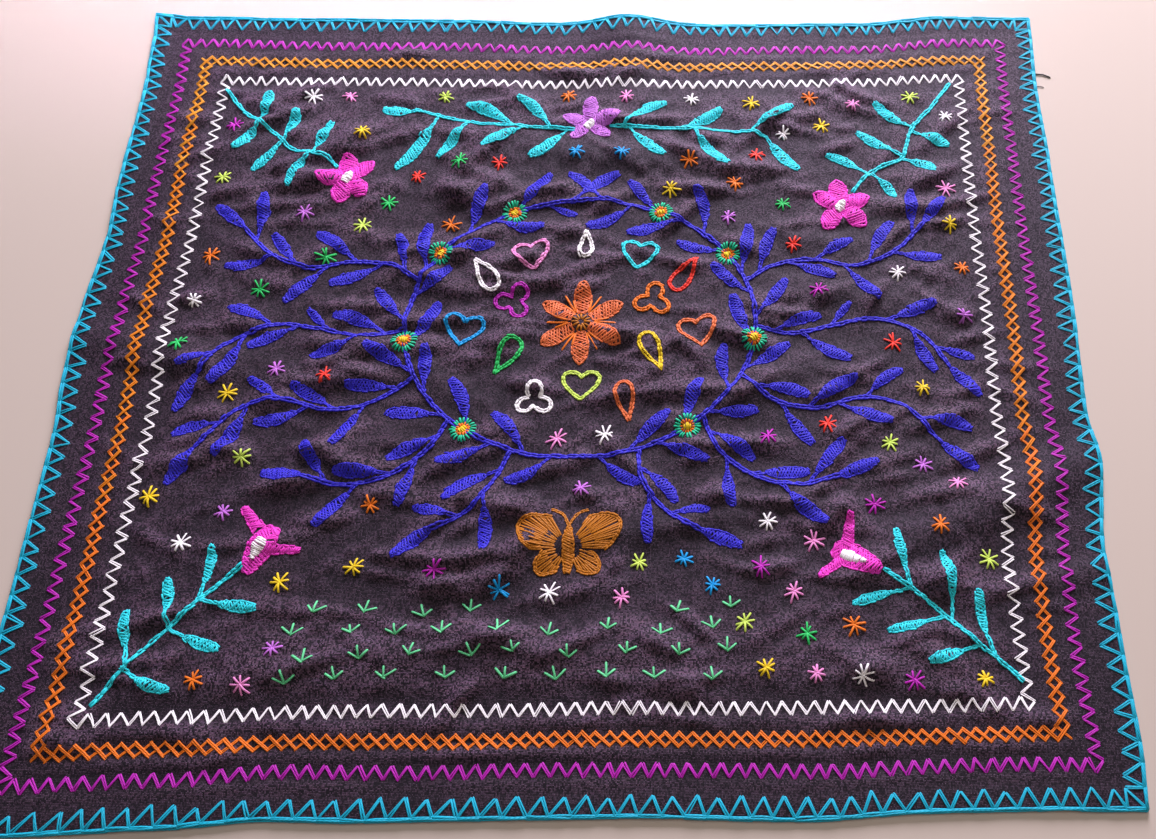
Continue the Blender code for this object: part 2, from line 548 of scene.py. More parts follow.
# %% Cotton colour
DEEP_BLACK = "#0f090e"
FADED_AND_CREST_LIT_BLACK = "#3d2d3b"
LIT_YARN = "#3f303d"
FADED_PATCHES_PER_METRE = 14.0
SLUBS_PER_METRE = (90.0, 900.0, 90.0)
SPECK_SIZE = 1.1 * MM
SLUB_SHARE = 0.5
# Painted light: the crest height pales the ground on the crests, on top of the real faded patches.
CREST_PAINTED_LIGHT = 0.75
FADING_AND_CREST_LIGHT_RANGE = {"From Min": 0.42, "From Max": 1.15}
SPECK_STRENGTH = {"From Min": 0.34, "From Max": 0.66, "To Min": 0.45, "To Max": 1.6}
DYE_STRENGTH = {"From Min": 0.25, "From Max": 0.75, "To Min": 0.0, "To Max": 2.0}
# Painted shade and light: the crest height darkens the hollows and lightens the crests.
HOLLOW_SHADE_CREST_LIGHT = {"To Min": 0.55, "To Max": 1.3}

# A colour mix node has several sockets of each name, so these go by number.
SHARE, LOWER, UPPER, MIX = 0, 6, 7, 2
MIXED = {"data_type": "RGBA"}
MULTIPLIED = {"data_type": "RGBA", "blend_type": "MULTIPLY"}


def faded_and_crest_lit_ground(tree, place, crest):
    """Deep black in the hollows by painted shade, paler on the crests by painted light, and faded in
    soft patches.
    """
    patches = {"Scale": FADED_PATCHES_PER_METRE, "Detail": 1.0}
    fading = add_node(tree, "ShaderNodeTexNoise", patches, {"Vector": place}).outputs["Fac"]
    # Painted light: the crest height is added to the faded patches, so the crests come out paler.
    raised = {"operation": "MULTIPLY_ADD", 1: CREST_PAINTED_LIGHT}
    fading_and_crest_light = add_node(tree, "ShaderNodeMath", raised, {0: crest, 2: fading}).outputs["Value"]
    faded_and_crest_lit = add_node(tree, "ShaderNodeMapRange", FADING_AND_CREST_LIGHT_RANGE, {"Value": fading_and_crest_light}).outputs["Result"]
    blacks = {**MIXED, LOWER: linear(DEEP_BLACK), UPPER: linear(FADED_AND_CREST_LIT_BLACK)}
    return add_node(tree, "ShaderNodeMix", blacks, {SHARE: faded_and_crest_lit}).outputs[MIX]


def cotton_colour(tree, place, crest, yarns, dye):
    """The ground with its slubs, lit yarns, specks and uneven dye, and painted shade in the hollows
    with painted light on the crests.
    """
    stretched = add_node(tree, "ShaderNodeMapping", {"Scale": SLUBS_PER_METRE}, {"Vector": place})
    rough = {"Scale": 1.0, "Detail": 2.0}
    slubs = add_node(tree, "ShaderNodeTexNoise", rough, {"Vector": stretched.outputs["Vector"]})
    colour = faded_and_crest_lit_ground(tree, place, crest)
    links = {LOWER: colour, UPPER: slubs.outputs["Color"]}
    slubbed = {**MULTIPLIED, SHARE: SLUB_SHARE}
    colour = add_node(tree, "ShaderNodeMix", slubbed, links).outputs[MIX]
    lit = {**MIXED, UPPER: linear(LIT_YARN)}
    colour = add_node(tree, "ShaderNodeMix", lit, {SHARE: yarns, LOWER: colour}).outputs[MIX]
    fine = {"Scale": 1 / SPECK_SIZE, "Detail": 2.0, "Roughness": 0.7}
    specks = add_node(tree, "ShaderNodeTexNoise", fine, {"Vector": place}).outputs["Fac"]
    # The crest factor is painted shade in the hollows and painted light on the crests.
    for source, span in ((specks, SPECK_STRENGTH), (dye, DYE_STRENGTH), (crest, HOLLOW_SHADE_CREST_LIGHT)):
        strength = add_node(tree, "ShaderNodeMapRange", span, {"Value": source}).outputs["Result"]
        links = {LOWER: colour, UPPER: strength}
        fully = {**MULTIPLIED, SHARE: 1.0}
        colour = add_node(tree, "ShaderNodeMix", fully, links).outputs[MIX]
    return colour


print("faded black as linear:", [round(v, 3) for v in linear(FADED_AND_CREST_LIT_BLACK)])

# %% Cotton finish
GLOSS = {"To Min": 0.83, "To Max": 0.52}
YARN_BUMP = {"Strength": 1.0, "Distance": 0.35 * MM}
COTTON_FINISH = {
    "Specular IOR Level": 0.42,
    "Specular Tint": linear("#f6e8ff"),
    "Sheen Weight": 0.12,
    "Sheen Roughness": 0.45,
    "Sheen Tint": linear("#d2aadc"),
}


def plain_weave_cotton():
    """Black plain-weave cotton: its colour, its yarns' relief, its gloss and its fuzz."""
    material, tree = new_material("plain-weave black cotton")
    place = add_node(tree, "ShaderNodeTexCoord").outputs["Object"]
    crest = add_node(tree, "ShaderNodeAttribute", {"attribute_name": "crest"}).outputs["Fac"]
    yarns = woven_yarns(tree, place)
    dye = dye_at_crossings(tree, place)
    relief = add_node(tree, "ShaderNodeMath", {"operation": "MULTIPLY"}, {0: yarns, 1: dye})
    bump = add_node(tree, "ShaderNodeBump", YARN_BUMP, {"Height": relief.outputs["Value"]})
    gloss = add_node(tree, "ShaderNodeMapRange", GLOSS, {"Value": dye})
    links = {
        "Base Color": cotton_colour(tree, place, crest, yarns, dye),
        "Roughness": gloss.outputs["Result"],
        "Normal": bump.outputs["Normal"],
    }
    shader = add_node(tree, "ShaderNodeBsdfPrincipled", COTTON_FINISH, links)
    add_node(tree, "ShaderNodeOutputMaterial", None, {"Surface": shader.outputs["BSDF"]})
    return material


cloth = make_cloth(plain_weave_cotton())
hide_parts("cloth")
print("cloth faces:", len(cloth.data.polygons))

# %% [markdown]
# ## Cotton floss
# Embroidery floss is six loosely twisted strands of mercerised cotton. It gives the
# eye a soft gloss and fine slanting lines; the grooves between the strands are darker,
# as painted shade. Each stitch carries its own map: once around the thread and on
# along it, so that the slanting lines follow the twist.

# %% Floss material
# At scale 1 the wave texture's slanting bands repeat every 2 pi / 10.
TWIST_WAVE = 2 * math.pi / 10
STRANDS_SEEN = 5
TWIST_LENGTH = 3.2
# Painted shade: the floss is darker in the grooves of its twist, less so for white.
GROOVE_SHADE_SHARE, WHITE_GROOVE_SHADE_SHARE = 0.42, 0.75
TWIST_BUMP = {"Strength": 0.6, "Distance": 0.12 * MM}
FLOSS_FINISH = {
    "Roughness": 0.58,
    "Specular IOR Level": 0.3,
    "Sheen Weight": 0.2,
    "Sheen Roughness": 0.4,
}

THREAD_COLOURS = {
    "edge_teal": "#1cbede",
    "magenta": "#c228bc",
    "orange": "#fa8222",
    "amber": "#f6901e",
    "golden": "#f3a42c",
    "white": "#fffdff",
    "turquoise": "#36eefa",
    "royal_blue": "#3a33d6",
    "hot_pink": "#fa42d2",
    "lilac": "#cc78e0",
    "coral": "#f27d48",
    "brown": "#c97c1c",
    "green": "#2ed06a",
    "mint": "#6fe6a0",
    "lime": "#d6f468",
    "yellow": "#ffdd28",
    "red": "#ff4030",
    "sky_blue": "#12a8f0",
    "pink": "#ff9fe0",
    "sea_green": "#22d39f",
    "black": "#1c1412",
}
COLOUR_NAMES = list(THREAD_COLOURS)


def cotton_floss(name, hex_colour):
    """Six-strand cotton floss of one colour."""
    material, tree = new_material("six-strand cotton floss, " + name.replace("_", " "))
    along = add_node(tree, "ShaderNodeUVMap", {"uv_map": "thread"}).outputs["UV"]
    slanting = {"bands_direction": "DIAGONAL", "Scale": TWIST_WAVE}
    twist = add_node(tree, "ShaderNodeTexWave", slanting, {"Vector": along}).outputs["Fac"]
    shade = add_node(tree, "ShaderNodeAttribute", {"attribute_name": "shade"}).outputs["Fac"]
    colour = linear(hex_colour)
    # Painted shade in the grooves of the twist.
    groove_shade_share = WHITE_GROOVE_SHADE_SHARE if name == "white" else GROOVE_SHADE_SHARE
    groove_shade = tuple(part * groove_shade_share for part in colour[:3]) + (1.0,)
    groove_shaded_twist = {**MIXED, LOWER: groove_shade, UPPER: colour}
    groove_shaded_colour = add_node(tree, "ShaderNodeMix", groove_shaded_twist, {SHARE: twist}).outputs[MIX]
    lighter = {**MIXED, UPPER: colour}
    shaded = add_node(tree, "ShaderNodeMix", lighter, {SHARE: shade, LOWER: groove_shaded_colour}).outputs[MIX]
    bump = add_node(tree, "ShaderNodeBump", TWIST_BUMP, {"Height": twist})
    links = {"Base Color": shaded, "Normal": bump.outputs["Normal"]}
    finish = {**FLOSS_FINISH, "Sheen Tint": colour}
    shader = add_node(tree, "ShaderNodeBsdfPrincipled", finish, links)
    add_node(tree, "ShaderNodeOutputMaterial", None, {"Surface": shader.outputs["BSDF"]})
    return material


FLOSS = {name: cotton_floss(name, code) for name, code in THREAD_COLOURS.items()}
print("floss colours:", len(FLOSS))

# %% [markdown]
# ## A needle
# A stitch goes from one place of the plan to another. A needle collects the stitches
# of one piece and makes them all at once: each becomes a short tube with six sides,
# which rises out of the cloth, lies on it, and dives in again. Hand sewing is never
# even, so every end and every width is a little off.

# %% Needle
TUBE_SIDES = 6
STITCH_SHARES = np.array([0.0, 0.08, 0.5, 0.92, 1.0])
STITCH_RISES = np.array([-0.55, 0.35, 0.5, 0.35, -0.55])
STITCH_SWELL = np.array([0.8, 1.0, 1.0, 1.0, 0.8])
THREAD_FLATNESS = 0.62
WIDTH_UNEVENNESS = 0.07
LIGHTEST_SHADE = 0.6
UNEVENNESS = 0.35
FALL_REACH = 1.2

sewn_places = []


def on_cloth(x, y):
    """Top surface points and normals, in mm; beyond the edge a thread falls to the floor."""
    column = np.clip((x / WIDTH + 0.5) * CELLS_ALONG_WIDTH, 0, CELLS_ALONG_WIDTH)
    row = np.clip((y / DEPTH + 0.5) * CELLS_ALONG_DEPTH, 0, CELLS_ALONG_DEPTH)
    i = np.minimum(column.astype(int), CELLS_ALONG_WIDTH - 1)
    j = np.minimum(row.astype(int), CELLS_ALONG_DEPTH - 1)
    right = (column - i)[..., None]
    up = (row - j)[..., None]

    def blend(table):
        near = table[j, i] * (1 - right) + table[j, i + 1] * right
        far = table[j + 1, i] * (1 - right) + table[j + 1, i + 1] * right
        return near * (1 - up) + far * up

    ground = blend(top_skin)
    beyond = [at - np.clip(at, -size / 2, size / 2) for at, size in ((x, WIDTH), (y, DEPTH))]
    ground[..., :2] += np.stack(beyond, axis=-1)
    ground[..., 2] *= 1 - np.clip(np.hypot(*beyond) / FALL_REACH, 0, 1)
    return ground, blend(top_normals)


class Needle:
    """Collects the stitches of one piece and makes them."""

    def __init__(self, name, seed, unevenness=UNEVENNESS):
        self.name = name
        self.draw = np.random.default_rng(seed)
        self.unevenness = unevenness
        self.rows = []

    def stitch(self, start, end, colour, width, bow=0.0, lift=0.0):
        """One stitch between two places; bow bends it, lift raises its middle."""
        wobble = self.draw.normal(0, self.unevenness, 4)
        wide = width * (1 + WIDTH_UNEVENNESS * self.draw.normal())
        shade = self.draw.uniform(0, LIGHTEST_SHADE)
        ends = (*start, *end) + wobble
        number = COLOUR_NAMES.index(colour)
        self.rows.append((*ends, wide / 2, bow, lift, number, shade))
        middle = ((start[0] + end[0]) / 2, (start[1] + end[1]) / 2)
        sewn_places.extend([middle, tuple(start), tuple(end)])

    def make(self):
        """Turn the collected stitches into one mesh object."""
        table = np.array(self.rows)
        start_x, start_y, end_x, end_y, radius, bow, lift = np.split(table[:, :7], 7, axis=1)
        step_x, step_y = end_x - start_x, end_y - start_y
        arch = 4 * STITCH_SHARES * (1 - STITCH_SHARES)
        x = start_x + step_x * STITCH_SHARES - step_y * bow * arch
        y = start_y + step_y * STITCH_SHARES + step_x * bow * arch
        ground, up = on_cloth(x, y)
        centre = ground + up * (radius * (STITCH_RISES + lift * arch))[..., None]
        ahead = unit(np.gradient(centre, axis=1))
        side = unit(np.cross(up, ahead))
        top = np.cross(ahead, side)
        angles = (np.arange(TUBE_SIDES) * 2 * math.pi / TUBE_SIDES)[:, None]
        ring = np.cos(angles) * side[:, :, None, :]
        crown = np.sin(angles) * top[:, :, None, :]
        swollen = (radius * STITCH_SWELL)[..., None, None]
        points = centre[:, :, None, :] + swollen * (ring + THREAD_FLATNESS * crown)
        piece = self.tubes(points.reshape(-1, 3), table, np.hypot(step_x, step_y))
        print(self.name, "stitches:", len(table))

    def tubes(self, points, table, length):
        """Faces, the thread map and the shade of every stitch."""
        count, rings = len(table), len(STITCH_SHARES)
        first = np.arange(count)[:, None, None] * rings * TUBE_SIDES
        here = first + np.arange(rings - 1)[:, None] * TUBE_SIDES
        side = np.arange(TUBE_SIDES)
        following = (side + 1) % TUBE_SIDES
        corners = [here + side, here + following]
        corners += [here + TUBE_SIDES + following, here + TUBE_SIDES + side]
        faces = np.stack(corners, axis=-1).reshape(-1, 4)
        used, slots = np.unique(table[:, 7].astype(int), return_inverse=True)
        slots = np.repeat(slots, (rings - 1) * TUBE_SIDES)
        materials = [FLOSS[COLOUR_NAMES[number]] for number in used]
        piece = mesh_object(self.name, points, faces.tolist(), materials, slots)
        around = np.stack([side, side + 1, side + 1, side], axis=-1) / TUBE_SIDES
        around = np.broadcast_to(around, (count, rings - 1, TUBE_SIDES, 4))
        low, high = STITCH_SHARES[:-1, None], STITCH_SHARES[1:, None]
        along = np.stack([low, low, high, high], axis=-1) * length[:, :, None, None]
        along = np.broadcast_to(along, around.shape) / TWIST_LENGTH
        thread_map = np.stack([around * STRANDS_SEEN, along], axis=-1)
        layer = piece.data.uv_layers.new(name="thread")
        layer.data.foreach_set("uv", thread_map.reshape(-1).astype(np.float32))
        shade = piece.data.attributes.new("shade", "FLOAT", "POINT")
        shades = np.repeat(table[:, 8], rings * TUBE_SIDES)
        shade.data.foreach_set("value", shades.astype(np.float32))
        return piece


print("triangles in one stitch:", 2 * TUBE_SIDES * (len(STITCH_SHARES) - 1))

# %% [markdown]
# ## Rows around the cloth
# The rows run round the whole cloth at steady distances from the edge. A zigzag is
# one closed line: on each side it starts and ends on its outer line, and a short
# stitch cuts across the corner. The teeth were sewn by eye, so they are a little
# wider at one end of a side than at the other, and the line wanders.

# %% Walking along the sides
Side = namedtuple("Side", "corner ahead inward length")

SIDES = (
    Side((-1, -1), (1, 0), (0, 1), WIDTH),
    Side((1, -1), (0, 1), (-1, 0), DEPTH),
    Side((1, 1), (-1, 0), (0, -1), WIDTH),
    Side((-1, 1), (0, -1), (1, 0), DEPTH),
)
ROW_SWINGS = (
    (-1.0, -1.0, 0.8, 0.7, -0.6, -2.1, -0.8),
    (0.0, 2.6, 0.5, -0.2, 0.5, 1.3, 0.5),
    (-0.3, 0.7, 0.4, 2.6, 1.4, 0.1, -2.0),
    (-0.5, -0.7, -0.8, 1.7, 0.5, -1.6, -0.2),
)
Ripple = namedtuple("Ripple", "rise length shift")
RIPPLES = (Ripple(0.77, 61.0, 2.1), Ripple(0.33, 23.0, 4.7))


def side_place(side, inset, along, inward):
    """A place on a side: distance along it, and further in than the inset."""
    x = side.corner[0] * (WIDTH / 2 - inset) + side.ahead[0] * along
    y = side.corner[1] * (DEPTH / 2 - inset) + side.ahead[1] * along
    return (x + side.inward[0] * inward, y + side.inward[1] * inward)


def spaced(length, first, last):
    """Places along a length, with gaps that grow evenly from first to last."""
    gaps = np.linspace(first, last, round(2 * length / (first + last)))
    return np.concatenate([[0.0], np.cumsum(gaps)]) * length / gaps.sum()


def wander(along, number):
    """How far in a hand-sewn line lies: its side's swing and small ripples."""
    swings = ROW_SWINGS[number]
    knots = np.linspace(0, SIDES[number].length - 2 * ROW_INSETS[1], len(swings))
    inward = np.interp(along, knots, swings)
    for ripple in RIPPLES:
        inward += ripple.rise * math.sin(along / ripple.length + number * ripple.shift)
    return inward


print("the near side swings by, in mm:", [round(wander(x, 0), 1) for x in (0, 300, 600)])

# %% Magenta and white zigzag rows
STRAND_GAP_SHARE = 0.48
CLOSER_AT_END = 0.7
ROW_DRIFT = 0.05
CORNER_CUT = 5.5
MAGENTA_INSET, ORANGE_INSET, WHITE_INSET = ROW_INSETS
Zigzag = namedtuple("Zigzag", "name seed inset height colour width pitches")

# The pitches are the first and the last tooth on each of the four sides.
ZIGZAGS = (
    Zigzag(
        "magenta_zigzag_row", 31, MAGENTA_INSET, 8.6, "magenta", 1.22,
        pitches=((10.4, 9.6), (9.9, 9.9), (9.3, 9.3), (9.8, 9.8)),
    ),
    Zigzag(
        "white_zigzag_row", 32, WHITE_INSET, 8.4, "white", 0.98,
        pitches=((9.9, 9.9), (10.2, 10.2), (9.2, 9.2), (9.9, 9.9)),
    ),
)


def double_stitch(needle, start, end, colour, width, lift=0.0):
    """Two strands side by side, a little closer at the second end."""
    run = np.subtract(end, start)
    off = np.array([-run[1], run[0]]) / math.hypot(*run) * (STRAND_GAP_SHARE * width)
    for sign in (-1, 1):
        second = end + sign * off * CLOSER_AT_END
        needle.stitch(start + sign * off, second, colour, width, lift=lift)


def zigzag_places(needle, row):
    """Places of one closed zigzag; it cuts across each corner of its outer line."""
    places = []
    for number, side in enumerate(SIDES):
        pitch = row.pitches[number]
        outer_length = side.length - 2 * row.inset + row.height
        feet = CORNER_CUT + spaced(outer_length - 2 * CORNER_CUT, *pitch)
        turns = np.sort(np.concatenate([feet, (feet[:-1] + feet[1:]) / 2]))
        for index, along in enumerate(turns):
            along += ROW_DRIFT * pitch[0] * needle.draw.normal()
            inward = (row.height if index % 2 else 0.0) + wander(along, number)
            places.append(side_place(side, row.inset - row.height / 2, along, inward))
    return places


for row in ZIGZAGS:
    zigzag = Needle(row.name, row.seed, unevenness=0.25)
    places = zigzag_places(zigzag, row)
    for start, end in zip(places, places[1:] + places[:1]):
        double_stitch(zigzag, start, end, row.colour, row.width)
    zigzag.make()

# %% [markdown]
# The orange row is herringbone stitch: a chain of crosses, each stitch a little longer
# than its cross, so that diamonds appear between them. One cross fills each corner. The
# stitches that lean one way are thicker, and the floss turns golden at the far side.

# %% Orange herringbone row
ORANGE_PITCHES = ((9.0, 8.3), (8.7, 8.9), (8.8, 8.5), (8.7, 8.7))
ORANGE_HALF = 4.0
ORANGE_OUTWARD, ORANGE_INWARD = 1.2, 1.0
ORANGE_DRIFT = 0.32
ORANGE_TONES = ("orange", "orange", "amber", "amber", "golden")
TONE_SPREAD = 25
TURN_OVERRUN = 0.1
UPPER_LIFT = 0.7


def orange_tone(needle, y):
    """The floss changes its tone: golden at the far side, orange near the viewer."""
    share = (y + needle.draw.normal(0, TONE_SPREAD)) / DEPTH + 0.5
    return ORANGE_TONES[int(np.clip(share * len(ORANGE_TONES), 0, len(ORANGE_TONES) - 1))]


def cross_stitch(needle, start, end, width, lift):
    """One stitch of a cross, with a small overrun at both ends."""
    over = np.subtract(end, start) * TURN_OVERRUN
    double_stitch(needle, start - over, end + over, orange_tone(needle, start[1]), width, lift)


def herringbone_ladder(needle):
    """Outer and inner places all round, and the corner's own place at each side's end."""
    ladder = []
    for number, side in enumerate(SIDES):
        length = side.length - 2 * ORANGE_INSET
        for along in ORANGE_HALF + spaced(length - 2 * ORANGE_HALF, *ORANGE_PITCHES[number]):
            shifts = needle.draw.normal(0, ORANGE_DRIFT, 2)
            swing = wander(along, number)
            outer = side_place(side, ORANGE_INSET, along + shifts[0], swing - ORANGE_HALF)
            inner = side_place(side, ORANGE_INSET, along + shifts[1], swing + ORANGE_HALF)
            ladder.append((outer, inner, None))
        corner = side_place(side, ORANGE_INSET, length + ORANGE_HALF, -ORANGE_HALF)
        ladder[-1] = (outer, inner, corner)
    return ladder


orange = Needle("orange_herringbone_row", 33, unevenness=0.15)
ladder = herringbone_ladder(orange)
for (outer, inner, corner), following in zip(ladder, ladder[1:] + ladder[:1]):
    under = (outer, following[1]) if corner is None else (inner, corner)
    cross_stitch(orange, *under, ORANGE_INWARD, 0.0)
    over_start = inner if corner is None else outer
    cross_stitch(orange, over_start, following[0], ORANGE_OUTWARD, UPPER_LIFT)
orange.make()

# %% [markdown]
# ## The edge
# Closed blanket stitch: two slanting legs meet in one hole, about 12 mm in from the
# edge, and a third run of thread lies along the very rim, half over it. Each leg is
# two strands of floss side by side. At each corner three stitches share one hole.

# %% Blanket stitch edge
TOOTH_PITCHES = ((13.8, 13.2), (13.6, 10.6), (12.0, 12.8), (10.6, 13.4))
TOOTH_LEANS = ((3.6, 0.0), (-0.5, -1.5), (0.5, 1.0), (1.5, 0.5))
TOOTH_DEPTH = 12.4
FOOT_DRIFT, HOLE_DRIFT = 0.7, 0.8
FOOT_INSET = 0.4
SECOND_LEG_LIFT = 0.3
CORNER_HOLE = 12.6
CORNER_FEET = ((0.6, 0.6), (CORNER_HOLE, FOOT_INSET), (FOOT_INSET, CORNER_HOLE))
EDGE_COLOUR = "edge_teal"
EDGE_STRAND = 1.2
RIM_WIDTHS = (1.5, 1.7, 2.1, 1.7)
RIM_SPREADS = (0.7, 1.0, 2.0, 1.0)
RIM_OVERRUN = 1
RIM_DRIFT = 0.6
RIM_BOW = 0.03
OUTER_RUN_OUT, OUTER_RUN_WIDTH, OUTER_RUN_SINK = 0.3, 1.7, 1.0


def rim_run(needle, number, left, right):
    """The run along the rim: two strands on top, side by side, and one over the side."""
    side, width, spread = SIDES[number], RIM_WIDTHS[number], RIM_SPREADS[number]
    ends = (left - RIM_OVERRUN, right + RIM_OVERRUN)
    for strand in (0, 1):
        insets = strand * spread + needle.draw.uniform(0.0, RIM_DRIFT, 2)
        start, end = [side_place(side, 0.0, *pair) for pair in zip(ends, insets)]
        bow = needle.draw.uniform(-RIM_BOW, RIM_BOW)
        needle.stitch(start, end, EDGE_COLOUR, width, bow=bow)
    over = [side_place(side, 0.0, along, -OUTER_RUN_OUT) for along in ends]
    needle.stitch(*over, EDGE_COLOUR, OUTER_RUN_WIDTH, lift=-OUTER_RUN_SINK)


def edge_leg(needle, side, along, inward, hole, lift):
    """One leg, from a foot at the rim to its hole."""
    foot = side_place(side, 0.0, along, inward)
    double_stitch(needle, foot, hole, EDGE_COLOUR, EDGE_STRAND, lift)


edge = Needle("blanket_stitch_edge", 34, unevenness=0.25)
for number, side in enumerate(SIDES):
    feet = CORNER_HOLE + spaced(side.length - 2 * CORNER_HOLE, *TOOTH_PITCHES[number])
    feet[1:-1] += edge.draw.normal(0, FOOT_DRIFT, len(feet) - 2)
    leans = np.linspace(*TOOTH_LEANS[number], len(feet) - 1)
    for left, right, lean in zip(feet[:-1], feet[1:], leans):
        depth = TOOTH_DEPTH + edge.draw.normal(0, HOLE_DRIFT)
        middle = (left + right) / 2 + lean + edge.draw.normal(0, HOLE_DRIFT)
        hole = side_place(side, 0.0, middle, depth)
        edge_leg(edge, side, left, FOOT_INSET, hole, 0.0)
        edge_leg(edge, side, right, FOOT_INSET, hole, SECOND_LEG_LIFT)
        rim_run(edge, number, left, right)
    hole = side_place(side, 0.0, CORNER_HOLE, CORNER_HOLE)
    for along, inward in CORNER_FEET:
        edge_leg(edge, side, along, inward, hole, SECOND_LEG_LIFT)
    rim_run(edge, number, 0.0, CORNER_HOLE)
    rim_run(edge, number, side.length - CORNER_HOLE, side.length)
edge.make()

# %% Loose ends
# Two ends of black sewing thread stick out past the right side, near its far corner.
LOOSE_ENDS = (((360.8, 252.8), (373.5, 249.2), 1.25), ((361, 240.2), (367, 239.4), 0.8))

loose = Needle("loose_thread_ends", 35, unevenness=0.1)
for start, end, width in LOOSE_ENDS:
    loose.stitch(start, end, "black", width, bow=0.1)
loose.make()

# %% [markdown]
# ## Stems
# Stems and vines are chain stitch: each link is a narrow loop of two strands that
# starts in the end of the link before it. A dark dot of cotton shows in the links.
# A stem's route is a few given places, joined by a smooth curve.

# %% Smooth routes and chain stitch
ROUTE_SAMPLES = 16
CHAIN_WIDTH = 2.9
LINK_LENGTH = 4.2
STRAND_SHARE = 0.52
OPEN_AT_START, OPEN_AT_END = 0.22, 0.17
LINK_BEHIND, LINK_AHEAD = 0.22, 0.08
LOOP_BOW = 0.06
LOOP_LIFT = 0.1


def smooth_route(places, step):
    """Even places along a smooth curve through given ones, with headings ahead and aside."""
    knots = np.array(places, dtype=float)
    padded = np.concatenate([2 * knots[:1] - knots[1:2], knots, 2 * knots[-1:] - knots[-2:-1]])
    t = np.linspace(0, 1, ROUTE_SAMPLES, endpoint=False)[:, None]
    curve = []
    for a, b, c, d in zip(padded, padded[1:], padded[2:], padded[3:]):
        bend = 2 * a - 5 * b + 4 * c - d
        twist = 3 * b - a - 3 * c + d
        curve.append(b + 0.5 * ((c - a) * t + bend * t**2 + twist * t**3))
    curve = np.concatenate(curve + [knots[-1:]])
    run = np.concatenate([[0], np.cumsum(np.hypot(*np.diff(curve, axis=0).T))])
    even = np.linspace(0, run[-1], max(2, round(run[-1] / step)) + 1)
    points = np.stack([np.interp(even, run, curve[:, axis]) for axis in (0, 1)], axis=1)
    ahead = np.gradient(points, axis=0)
    ahead /= np.hypot(ahead[:, 0], ahead[:, 1])[:, None]
    return points, ahead, np.stack([-ahead[:, 1], ahead[:, 0]], axis=1)


def chain_stitch(needle, places, colour, width=CHAIN_WIDTH, link=LINK_LENGTH):
    """A line of narrow loops, two strands to each."""
    points, _, aside = smooth_route(places, link)
    strand = width * STRAND_SHARE
    for here, following, out in zip(points, points[1:], aside):
        step = following - here
        for sign in (-1, 1):
            start = here + sign * out * width * OPEN_AT_START - step * LINK_BEHIND
            end = following + sign * out * width * OPEN_AT_END + step * LINK_AHEAD
            needle.stitch(start, end, colour, strand, bow=sign * LOOP_BOW, lift=LOOP_LIFT)


print("route test:", smooth_route([(0, 0), (10, 5), (20, 0)], 5)[0].round(1).tolist())

# %% [markdown]
# ## Leaves
# Leaves and petals are closed herringbone: threads cross from one side of the shape to
# the other, always a little further on. The crossings make a close lattice with small
# dark dots of cotton, and short stitches, two steps long, close its outline.

# %% Closed herringbone
LATTICE_PITCH = 2.0
LATTICE_THREAD = 1.25
LATTICE_LEAN = 0.5
LEAF_FROM, LEAF_TO = 0.03, 0.95
LEAF_MIDDLE = 0.65
PETAL_OPEN = 0.15
STALK_WIDTH = 2.5
STALK_LINK = 3.4


def leaf_outline(share):
    """Half-width of a leaf: slim at its stalk, full past the middle, with a blunt tip."""
    return math.sin(math.pi * (LEAF_FROM + (LEAF_TO - LEAF_FROM) * share) ** 1.1) ** 0.6


def petal_outline(share):
    """Half-width of a petal: open at its base, full and round past the middle."""
    return math.sin(math.pi * (PETAL_OPEN + (1 - PETAL_OPEN) * share) ** 1.3) ** 0.6


def lattice(
    needle, route, colour, width, outline=leaf_outline, pitch=LATTICE_PITCH, thread=LATTICE_THREAD
):
    """Fill a shape along a route with crossing threads, and close its outline."""
    points, _, aside = smooth_route(route, pitch)
    last = len(points) - 1
    halves = np.array([outline(k / last) for k in range(last + 1)]) * width / 2
    edges = (points + aside * halves[:, None], points - aside * halves[:, None])
    for k in range(last):
        reach = min(k + max(1, round(2 * LATTICE_LEAN * halves[k] / pitch)), last)
        for sign in (0, 1):
            start = edges[sign][k]
            needle.stitch(start, edges[1 - sign][reach], colour, thread, lift=0.5 * sign)
            if k % 2 == 0:
                needle.stitch(start, edges[sign][min(k + 2, last)], colour, thread)


def stalked_leaf(needle, joint, tip, colour, width, bend, stalk):
    """A leaf with its stalk, from its joint on a stem, along one bent line."""
    run = np.subtract(tip, joint)
    middle = np.add(joint, run / 2) + np.array([-run[1], run[0]]) * bend
    points = smooth_route([joint, middle, tip], 1.0)[0]
    last = len(points) - 1
    knots = [points[round(share * last)] for share in (stalk, LEAF_MIDDLE, 1.0)]
    chain_stitch(needle, [points[0], knots[0]], colour, STALK_WIDTH, STALK_LINK)
    lattice(needle, knots, colour, width)


print("leaf half-widths:", [round(leaf_outline(s), 2) for s in (0.1, 0.3, 0.5, 0.7, 0.9)])

# %% [markdown]
# ## Corner sprays and the top garland
# A turquoise spray grows out of each corner of the white row, and a garland lies
# along the top. The stems and the leaf tips are listed one by one, the stitches set by rule.

# %% Turquoise sprays
SPRAY_LEAF_SIZES = (0.88, 1.12)
SPRAY_LEAF_BEND = 0.1
Spray = namedtuple("Spray", "width stalk stem leaves")

